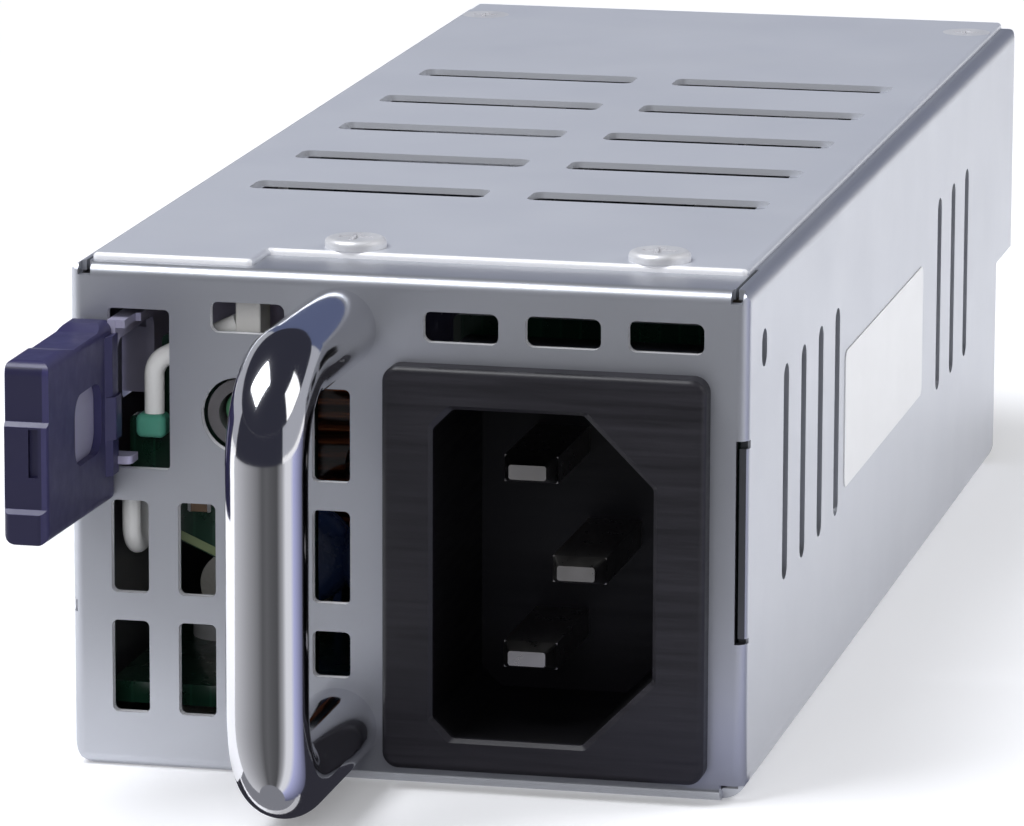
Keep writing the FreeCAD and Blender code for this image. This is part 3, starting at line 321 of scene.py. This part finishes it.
def enamelled_wire(name, color, turns):
    """Close turns of enamelled copper wire, as ridges; turns sets how close they lie."""
    s = Shader(name, color, metallic=0.85, roughness=0.3, coat=0.6)
    wave = s.nodes.new("ShaderNodeTexWave")
    wave.bands_direction = "Z"
    wave.inputs["Scale"].default_value = turns
    wave.inputs["Distortion"].default_value = 0.6
    s.link(s.place, wave.inputs["Vector"])
    # painted shade between the turns and painted highlight on their crests
    s.color(s.ramp(wave.outputs["Fac"], (0.0, shade(color, 0.25)), (0.55, color),
                   (1.0, shade(color, 1.6))))
    s.bump(wave.outputs["Fac"], distance=0.0003)
    return s.material


def sleeve(name, color, top):
    """Glossy sleeve on a can, with faint upright pulls and bare metal above height top."""
    s = Shader(name, color, coat=0.4)
    pulls = s.noise(scale=400, detail=3, rough=0.5, vector=s.stretched((1, 1, 0.1)))
    sleeved = s.tones(pulls, color, dark=0.8, light=1.5)
    (left, front), (right, rear) = CASE_PLAN
    bare = s.inside((left, front, top), (right, rear, top + 5))
    s.color(s.mixed(bare, sleeved, BARE_CAN))
    s.metallic(bare)
    s.roughness(s.remap(pulls, low=0.2, high=0.34))
    s.bump(pulls, distance=0.00008, strength=0.5)
    return s.material


# Places on the object in millimetres: a box is its low and its high corner.
CASE_PLAN = ((-30, -70), (30, 80))                         # wider than the whole case
INTERIOR = ((-24.65, -58.75, 0.75), (24.65, 71.0, 37.2))   # inner faces of the sheet, darkened with painted shade
PUNCHED_HIGHLIGHT = [((-24.0, -59.42, 1.5), (24.0, -58.8, 36.9))]    # walls of the panel's openings, given a painted highlight
# front rim of the cover, given a painted highlight
COVER_RIM_HIGHLIGHT = [((-11.9, -53.4, 37.9), (24.0, -53.0, 38.5)),
             ((-24.0, -58.0, 37.9), (-12.0, -57.6, 38.5))]
# sheared edge in the right front joint, darkened with painted shade
RIGHT_JOINT = ((24.45, -59.45, 11.9), (25.2, -58.3, 27.0))
# deep part of the inlet's recess, darkened with painted shade
INLET_RECESS = ((2.3, -60.7, 3.9), (18.9, -44.0, 29.6))
LATCH_END = [((-25.1, -77.8, low), (-22.4, -76.6, high))   # the three steps of its end, darkened with painted shade
             for low, high in ((20, 23), (23.35, 29.3), (29.65, 34))]

CASE = (0.56, 0.575, 0.62)
CAN_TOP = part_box("bulk_capacitors")[1][2] / MM - 0.1

FINISHES = {
    "case_steel": plated_sheet("case_steel", CASE, metallic=0.78, highlighted_edges=PUNCHED_HIGHLIGHT,
                               sheared=RIGHT_JOINT),
    # the cover takes a lighter copy of the case colour: painted light for its lit top
    "cover_steel": plated_sheet("cover_steel", shade(CASE, 1.2), metallic=0.38,
                                highlighted_edges=COVER_RIM_HIGHLIGHT),
    "screw_steel": satin_steel("screw_steel", (0.86, 0.86, 0.88)),
    "inlet_plastic": inlet_moulding("inlet_plastic", (0.014, 0.013, 0.017), INLET_RECESS),
    "pin_metal": bare_steel("pin_metal", (0.66, 0.64, 0.61), roughness=0.3),
    "handle_chrome": chrome("handle_chrome", (0.83, 0.83, 0.86)),
    "latch_plastic": moulded("latch_plastic", (0.034, 0.031, 0.095), roughness=0.38,
                             grain=0.000002, scale=2200, spread=0.05, shaded_boxes=LATCH_END),
    # the lavender tint of this steel is a painted reflection of blue
    "latch_steel": satin_steel("latch_steel", (0.50, 0.48, 0.64)),
    "board_green": solder_mask("board_green", (0.005, 0.022, 0.013)),
    "gold_pad": bare_steel("gold_pad", (0.83, 0.6, 0.22), roughness=0.25),
    "brass": bare_steel("brass", (0.7, 0.52, 0.26), roughness=0.3),
    "clear_film": moulded("clear_film", (0.75, 0.75, 0.72), roughness=0.3, grain=0.00002),
    "lamp_lens": moulded("lamp_lens", (0.10, 0.26, 0.15), roughness=0.12, grain=0.00001),
    "bezel_plastic": moulded("bezel_plastic", (0.09, 0.085, 0.09), roughness=0.4),
    "white_plastic": moulded("white_plastic", (0.86, 0.85, 0.83), roughness=0.4, spread=0.03),
    "teal_plastic": moulded("teal_plastic", (0.09, 0.34, 0.25), roughness=0.35),
    "white_lead": moulded("white_lead", (0.92, 0.92, 0.91), roughness=0.35, spread=0.03),
    "fuse_ceramic": moulded("fuse_ceramic", (0.8, 0.78, 0.72), roughness=0.35),
    "film_capacitor": moulded("film_capacitor", (0.42, 0.43, 0.45), roughness=0.4),
    "disc_blue": moulded("disc_blue", (0.035, 0.06, 0.17), roughness=0.25),
    "ferrite": moulded("ferrite", (0.035, 0.035, 0.04), roughness=0.6, grain=0.00008,
                       scale=1800, spread=0.3),
    "copper": enamelled_wire("copper", (0.24, 0.07, 0.025), turns=300),
    "rectifier_black": moulded("rectifier_black", (0.02, 0.02, 0.022), roughness=0.4),
    "can_sleeve": sleeve("can_sleeve", (0.02, 0.02, 0.035), top=CAN_TOP),
    "winding_tape": moulded("winding_tape", (0.6, 0.42, 0.06), roughness=0.3, grain=0.00005,
                            scale=900),
    "heatsink": bare_steel("heatsink", (0.72, 0.72, 0.73), roughness=0.4),
    "fan_plastic": moulded("fan_plastic", (0.018, 0.018, 0.02), roughness=0.5),
    "fan_blade_plastic": moulded("fan_blade_plastic", (0.025, 0.025, 0.028)),
    "label_stock": moulded("label_stock", (0.88, 0.88, 0.89), roughness=0.4, grain=0.000005,
                           scale=2600, spread=0.015),
    "laminate": moulded("laminate", (0.16, 0.2, 0.1), roughness=0.5, grain=0.00001,
                        scale=3000, spread=0.15),
    "chip_ceramic": moulded("chip_ceramic", (0.16, 0.1, 0.06), roughness=0.4, grain=0.00001,
                            scale=3000, spread=0.2),
    "solder": bare_steel("solder", (0.7, 0.7, 0.71), roughness=0.3),
}


def dress_frame():
    """Gives each CAD node the finish of its slot in the record."""
    for entry in frame["record"]["subparts"]:
        node = frame["nodes"][entry["node"]]
        node.data.materials.clear()
        node.data.materials.append(FINISHES[entry["material_slot"]])


# ---- small pieces -----------------------------------------------------------------------
LABEL_SPAN = ((-19.0, 14.8), (18.2, 25.7))   # low and high corner of the label, as Y and Z
LABEL_LIFT, LABEL_TOP = 0.01, 0.09           # its two faces, out from the wall
LABEL_CORNER = 0.8
CORNER_STEPS = 6

CHIP_HALF = (0.75, 0.24, 0.4)                # half sizes of a level chip part
END_HALF = (0.17, 0.27, 0.43)                # and of one of its solder ends
END_SHIFT = 0.72
CHIP_LIFT, END_LIFT = 0.27, 0.26             # their middles, out from the board
CHIP_BEVEL, END_BEVEL = 0.05, 0.08
CHIP_PLACES = [   # X and Z of each, and whether it stands upright
    (-17.3, 22.3, False), (-15.2, 22.3, False), (-17.6, 30.2, False), (-16.0, 30.2, False),
    (-10.0, 22.0, True), (-13.2, 20.4, True), (-16.9, 19.0, False), (-11.2, 17.2, False),
    (-11.2, 14.6, False), (-13.4, 11.6, True)]

MARGIN_CORNERS = [(-19.6, 17.5), (-15.3, 15.63), (-15.3, 14.95), (-19.6, 16.82)]   # X and Z
MARGIN_FACES = (0.03, 0.005)                 # its two faces, out from the board


def piece(name, mesh, finish, body="root"):
    """Adds a finished mesh that rides on a body."""
    made = bpy.data.objects.new(name, mesh)
    scene.collection.objects.link(made)
    mesh.materials.append(FINISHES[finish])
    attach(made, body)


def closed(shape):
    """Mesh of a finished shape, with its faces turned outwards."""
    bmesh.ops.recalc_face_normals(shape, faces=shape.faces)
    mesh = bpy.data.meshes.new("piece")
    shape.to_mesh(mesh)
    shape.free()
    return mesh


def prism(first, second):
    """Closed mesh between two matching outlines of points in millimetres."""
    shape = bmesh.new()
    near, far = ([shape.verts.new(Vector(point) * MM) for point in outline]
                 for outline in (first, second))
    shape.faces.new(near)
    shape.faces.new(far)
    for at in range(len(near)):
        after = (at + 1) % len(near)
        shape.faces.new((near[at], near[after], far[after], far[at]))
    return closed(shape)


def rounded_outline(low, high, radius):
    """Corner arcs of a rectangle, from its high corner round, in millimetres."""
    points = []
    for start, (right, top) in enumerate(((1, 1), (0, 1), (0, 0), (1, 0))):
        across = high[0] - radius if right else low[0] + radius
        up = high[1] - radius if top else low[1] + radius
        for step in range(CORNER_STEPS + 1):
            angle = math.radians(90 * (start + step / CORNER_STEPS))
            points.append((across + radius * math.cos(angle), up + radius * math.sin(angle)))
    return points


def bevelled_blocks(blocks, bevel):
    """One mesh of small blocks with broken edges, each a place and half sizes."""
    shape = bmesh.new()
    for place, half in blocks:
        made = bmesh.ops.create_cube(shape, size=2)["verts"]
        for vert in made:
            vert.co = Vector([(place[axis] + vert.co[axis] * half[axis]) * MM
                              for axis in range(3)])
        edges = list({edge for vert in made for edge in vert.link_edges})
        bmesh.ops.bevel(shape, geom=edges, offset=bevel * MM, segments=2, affect="EDGES")
    return closed(shape)


def side_label():
    """Blank label on the right wall, between the two groups of slots."""
    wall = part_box("chassis")[1][0] / MM
    outline = rounded_outline(*LABEL_SPAN, LABEL_CORNER)
    faces = ([(wall + lift, y, z) for y, z in outline] for lift in (LABEL_LIFT, LABEL_TOP))
    piece("side_label", prism(*faces), "label_stock")


def status_board_parts():
    """Chip parts with their solder ends on the status board's face."""
    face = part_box("status_board")[0][1] / MM
    chips, ends = [], []
    for x, z, upright in CHIP_PLACES:
        turn = -1 if upright else 1
        chips.append(((x, face - CHIP_LIFT, z), CHIP_HALF[::turn]))
        for shift in (-END_SHIFT, END_SHIFT):
            place = (x, z + shift) if upright else (x + shift, z)
            ends.append(((place[0], face - END_LIFT, place[1]), END_HALF[::turn]))
    chip_mesh = bevelled_blocks(chips, CHIP_BEVEL)
    piece("status_chips", chip_mesh, "chip_ceramic")
    end_mesh = bevelled_blocks(ends, END_BEVEL)
    piece("status_chip_ends", end_mesh, "solder")


def board_margin():
    """Bare laminate left along the status board's slanting lower edge."""
    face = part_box("status_board")[0][1] / MM
    faces = ([(x, face - lift, z) for x, z in MARGIN_CORNERS] for lift in MARGIN_FACES)
    piece("board_margin", prism(*faces), "laminate")


# ---- floor and world --------------------------------------------------------------------
FLOOR_REACH = 6.0
FLOOR_COLOR = (0.86, 0.86, 0.88)
FLOOR_NEAR = (0.3, 0.2)              # distance from the middle, and the glow added there
FLOOR_FAR = (1.1, 0.85)
WORLD_FILL = (0.93, 0.95, 1.0)
WORLD_FILL_STRENGTH = 0.28


def seen_directly(nodes, links):
    """1 for camera, glossy and transmission rays."""
    path = nodes.new("ShaderNodeLightPath")
    total = path.outputs["Is Camera Ray"]
    for name in ("Is Glossy Ray", "Is Transmission Ray"):
        add = nodes.new("ShaderNodeMath")
        add.operation = "MAXIMUM"
        links.new(total, add.inputs[0])
        links.new(path.outputs[name], add.inputs[1])
        total = add.outputs[0]
    return total


def lift_when_seen(tree, color, near, far):
    """Plain diffuse, lifted towards white where it is seen, more so far from the object."""
    nodes, links = tree.nodes, tree.links
    nodes.clear()
    output = nodes.new("ShaderNodeOutputMaterial")
    diffuse = nodes.new("ShaderNodeBsdfDiffuse")
    diffuse.inputs["Color"].default_value = opaque(color)
    glow = nodes.new("ShaderNodeEmission")
    place = nodes.new("ShaderNodeTexCoord")
    distance = nodes.new("ShaderNodeVectorMath")
    distance.operation = "LENGTH"
    links.new(place.outputs["Object"], distance.inputs[0])
    level = nodes.new("ShaderNodeMapRange")
    level.inputs["From Min"].default_value, level.inputs["To Min"].default_value = near
    level.inputs["From Max"].default_value, level.inputs["To Max"].default_value = far
    links.new(distance.outputs["Value"], level.inputs["Value"])
    links.new(level.outputs["Result"], glow.inputs["Strength"])
    both = nodes.new("ShaderNodeAddShader")
    links.new(diffuse.outputs[0], both.inputs[0])
    links.new(glow.outputs[0], both.inputs[1])
    mix = nodes.new("ShaderNodeMixShader")
    links.new(seen_directly(nodes, links), mix.inputs["Fac"])
    links.new(diffuse.outputs[0], mix.inputs[1])
    links.new(both.outputs[0], mix.inputs[2])
    links.new(mix.outputs[0], output.inputs["Surface"])


def floor():
    """Wide pale floor that keeps the object's shadow."""
    reach = FLOOR_REACH
    mesh = bpy.data.meshes.new("floor")
    mesh.from_pydata([(-reach, -reach, 0), (reach, -reach, 0), (reach, reach, 0),
                      (-reach, reach, 0)], [], [(0, 1, 2, 3)])
    ground = bpy.data.objects.new("floor", mesh)
    scene.collection.objects.link(ground)
    material = bpy.data.materials.new("floor")
    material.use_nodes = True
    lift_when_seen(material.node_tree, FLOOR_COLOR, FLOOR_NEAR, FLOOR_FAR)
    mesh.materials.append(material)


def world():
    """White where it is seen, and a plain grey fill as a light."""
    scene.world = bpy.data.worlds.new("studio")
    scene.world.use_nodes = True
    nodes, links = scene.world.node_tree.nodes, scene.world.node_tree.links
    nodes.clear()
    output = nodes.new("ShaderNodeOutputWorld")
    seen = nodes.new("ShaderNodeBackground")
    seen.inputs["Color"].default_value = (1, 1, 1, 1)
    lit = nodes.new("ShaderNodeBackground")
    lit.inputs["Color"].default_value = opaque(WORLD_FILL)
    lit.inputs["Strength"].default_value = WORLD_FILL_STRENGTH
    mix = nodes.new("ShaderNodeMixShader")
    links.new(seen_directly(nodes, links), mix.inputs["Fac"])
    links.new(lit.outputs[0], mix.inputs[1])
    links.new(seen.outputs[0], mix.inputs[2])
    links.new(mix.outputs[0], output.inputs["Surface"])


# ---- lamps and reflected surfaces -------------------------------------------------------
LAMP_AIM = (0, -0.02, 0.02)
SCREEN_CENTRE = (0, -0.05, 0.02)
PATCH_STEPS = 48
DARK_SCREEN = (0.03, 0.031, 0.045)
CARD_LEVEL = 0.0007                  # just above the floor

TABLE_CENTRE = (-0.005, -0.08, 0.001)
TABLE_RADII = (0.002, 1.6)           # its inner and outer rim
PLAIN, BLUE = (1, 1.01, 1.06), (1, 1.04, 1.6)
TABLE_STOPS = [   # azimuth in degrees from the front towards the right, grey level, tint
    (-85, 0.6, PLAIN), (-40, 0.34, PLAIN), (-12, 0.2, PLAIN), (2, 0.1, PLAIN),
    (14, 0.12, PLAIN), (25, 0.1, PLAIN), (42, 0.08, PLAIN), (57, 0.35, PLAIN),
    (67, 0.75, PLAIN), (82, 0.75, PLAIN), (93, 0.45, BLUE), (128, 0.1, BLUE)]


def lamp(name, where, size, power, color=(1, 1, 1), mirrored=True):
    """Rectangular lamp that faces the object; mirrored ones show in reflections."""
    data = bpy.data.lights.new(name, "AREA")
    data.shape = "RECTANGLE"
    data.size, data.size_y = size
    data.energy = power
    data.color = color
    light = bpy.data.objects.new(name, data)
    scene.collection.objects.link(light)
    light.location = where
    aim = Vector(LAMP_AIM) - light.location
    light.rotation_euler = aim.to_track_quat("-Z", "Y").to_euler()
    light.visible_glossy = mirrored


def unseen(name, points, faces):
    """Adds a studio surface that shows only in reflections; returns its empty node tree."""
    mesh = bpy.data.meshes.new(name)
    mesh.from_pydata(points, [], faces)
    board = bpy.data.objects.new(name, mesh)
    scene.collection.objects.link(board)
    board.visible_camera = False
    board.visible_diffuse = False
    board.visible_shadow = False
    board.visible_transmission = False
    material = bpy.data.materials.new(name)
    material.use_nodes = True
    material.node_tree.nodes.clear()
    mesh.materials.append(material)
    return material.node_tree


def patch(centre, radii, azimuths, elevations):
    """Grid of points round a centre, one row for each elevation; azimuth 0 is -Y, 90 is +X."""
    steps = PATCH_STEPS
    points = []
    for radius, height in zip(radii, elevations):
        elevation = math.radians(height)
        flat = radius * math.cos(elevation)
        for column in range(steps + 1):
            turn = azimuths[0] + (azimuths[1] - azimuths[0]) * column / steps
            azimuth = math.radians(turn)
            points.append((centre[0] + flat * math.sin(azimuth),
                           centre[1] - flat * math.cos(azimuth),
                           centre[2] + radius * math.sin(elevation)))
    width = steps + 1
    faces = [(row * width + column, row * width + column + 1,
              (row + 1) * width + column + 1, (row + 1) * width + column)
             for row in range(len(elevations) - 1) for column in range(steps)]
    return points, faces


def glowing(tree, color):
    """Makes a surface a plain glow, of one colour or of a node's output."""
    glow = tree.nodes.new("ShaderNodeEmission")
    if isinstance(color, tuple):
        glow.inputs["Color"].default_value = opaque(color)
    else:
        tree.links.new(color, glow.inputs["Color"])
    output = tree.nodes.new("ShaderNodeOutputMaterial")
    tree.links.new(glow.outputs[0], output.inputs["Surface"])


def front_table():
    """Grey table top in front, darkest in the middle, for the bright metal to reflect."""
    azimuths = (TABLE_STOPS[0][0], TABLE_STOPS[-1][0])
    tree = unseen("front_table", *patch(TABLE_CENTRE, TABLE_RADII, azimuths, (0, 0)))
    nodes, links = tree.nodes, tree.links
    place = nodes.new("ShaderNodeTexCoord")
    shift = nodes.new("ShaderNodeMapping")
    shift.inputs["Location"].default_value = (TABLE_CENTRE[1], -TABLE_CENTRE[0], 0)
    shift.inputs["Rotation"].default_value = (0, 0, math.radians(90))
    links.new(place.outputs["Object"], shift.inputs["Vector"])
    angle = nodes.new("ShaderNodeTexGradient")
    angle.gradient_type = "RADIAL"
    links.new(shift.outputs["Vector"], angle.inputs["Vector"])
    ramp = nodes.new("ShaderNodeValToRGB")
    fill_ramp(ramp, [(0.5 + azimuth / 360, shade(tint, grey))
                     for azimuth, grey, tint in TABLE_STOPS])
    links.new(angle.outputs["Fac"], ramp.inputs["Fac"])
    glowing(tree, ramp.outputs["Color"])


def screen(name, azimuths, elevations, color, distance=1.3):
    """Screen of one colour round the object, seen only in its reflections."""
    points, faces = patch(SCREEN_CENTRE, [distance] * len(elevations), azimuths, elevations)
    glowing(unseen(name, points, faces), color)


def card(name, x, y, color):
    """Level card on the floor under the handle, seen only in reflections."""
    z = CARD_LEVEL
    points = [(x[0], y[0], z), (x[1], y[0], z), (x[1], y[1], z), (x[0], y[1], z)]
    glowing(unseen(name, points, [(0, 1, 2, 3)]), color)


# ---- camera -----------------------------------------------------------------------------
LENS, SENSOR = 240.6, 36             # in millimetres
SHIFT = (-0.0042, -0.0038)
CLIP_END = 20
CAMERA_PLACE = (0.11392, -0.53354, 0.13115)
YAW, PITCH_DOWN, ROLL = 12.566, 11.923, 0.202   # in degrees


def camera():
    """Long lens at the right front, a little above the object."""
    data = bpy.data.cameras.new("camera")
    data.lens = LENS
    data.sensor_width = SENSOR
    data.shift_x, data.shift_y = SHIFT
    data.clip_end = CLIP_END
    eye = bpy.data.objects.new("camera", data)
    scene.collection.objects.link(eye)
    turn = (Matrix.Rotation(math.radians(YAW), 4, "Z")
            @ Matrix.Rotation(math.radians(90 - PITCH_DOWN), 4, "X")
            @ Matrix.Rotation(math.radians(ROLL), 4, "Z"))
    eye.matrix_world = Matrix.Translation(CAMERA_PLACE) @ turn
    scene.camera = eye


# ---- the scene --------------------------------------------------------------------------
dress_frame()
side_label()
status_board_parts()
board_margin()

floor()
world()
lamp("key", where=(0.53, 0.36, 0.47), size=(0.46, 0.46), power=2.6, mirrored=False)
lamp("top", where=(-0.31, -0.22, 0.70), size=(0.42, 0.42), power=4.9, color=(0.95, 0.97, 1.0))
lamp("front", where=(0.05, -0.88, 0.32), size=(0.5, 0.4), power=2.8, mirrored=False)
front_table()
card("handle_card", x=(-0.0125, 0.012), y=(-0.095, -0.0775), color=(0.22, 0.225, 0.25))
card("handle_shade", x=(-0.0128, 0.03), y=(-0.0766, -0.0596), color=(0.03, 0.03, 0.04))
screen("front_flag", azimuths=(-80, 57), elevations=(-1, 12, 25), color=DARK_SCREEN)
screen("ceiling", azimuths=(-180, 180), elevations=(25, 40, 55, 70, 89.9), color=DARK_SCREEN)
screen("horizon", azimuths=(57, 280), elevations=(3, 12, 25), color=(0.4, 0.41, 0.45),
       distance=1.32)
screen("rear_card", azimuths=(155, 205), elevations=(3, 12, 25), color=(0.10, 0.12, 0.21))
screen("catch_light", azimuths=(70, 110), elevations=(26, 50), color=(1.5, 1.5, 1.5),
       distance=1.25)
camera()
scene.view_settings.view_transform = "Standard"
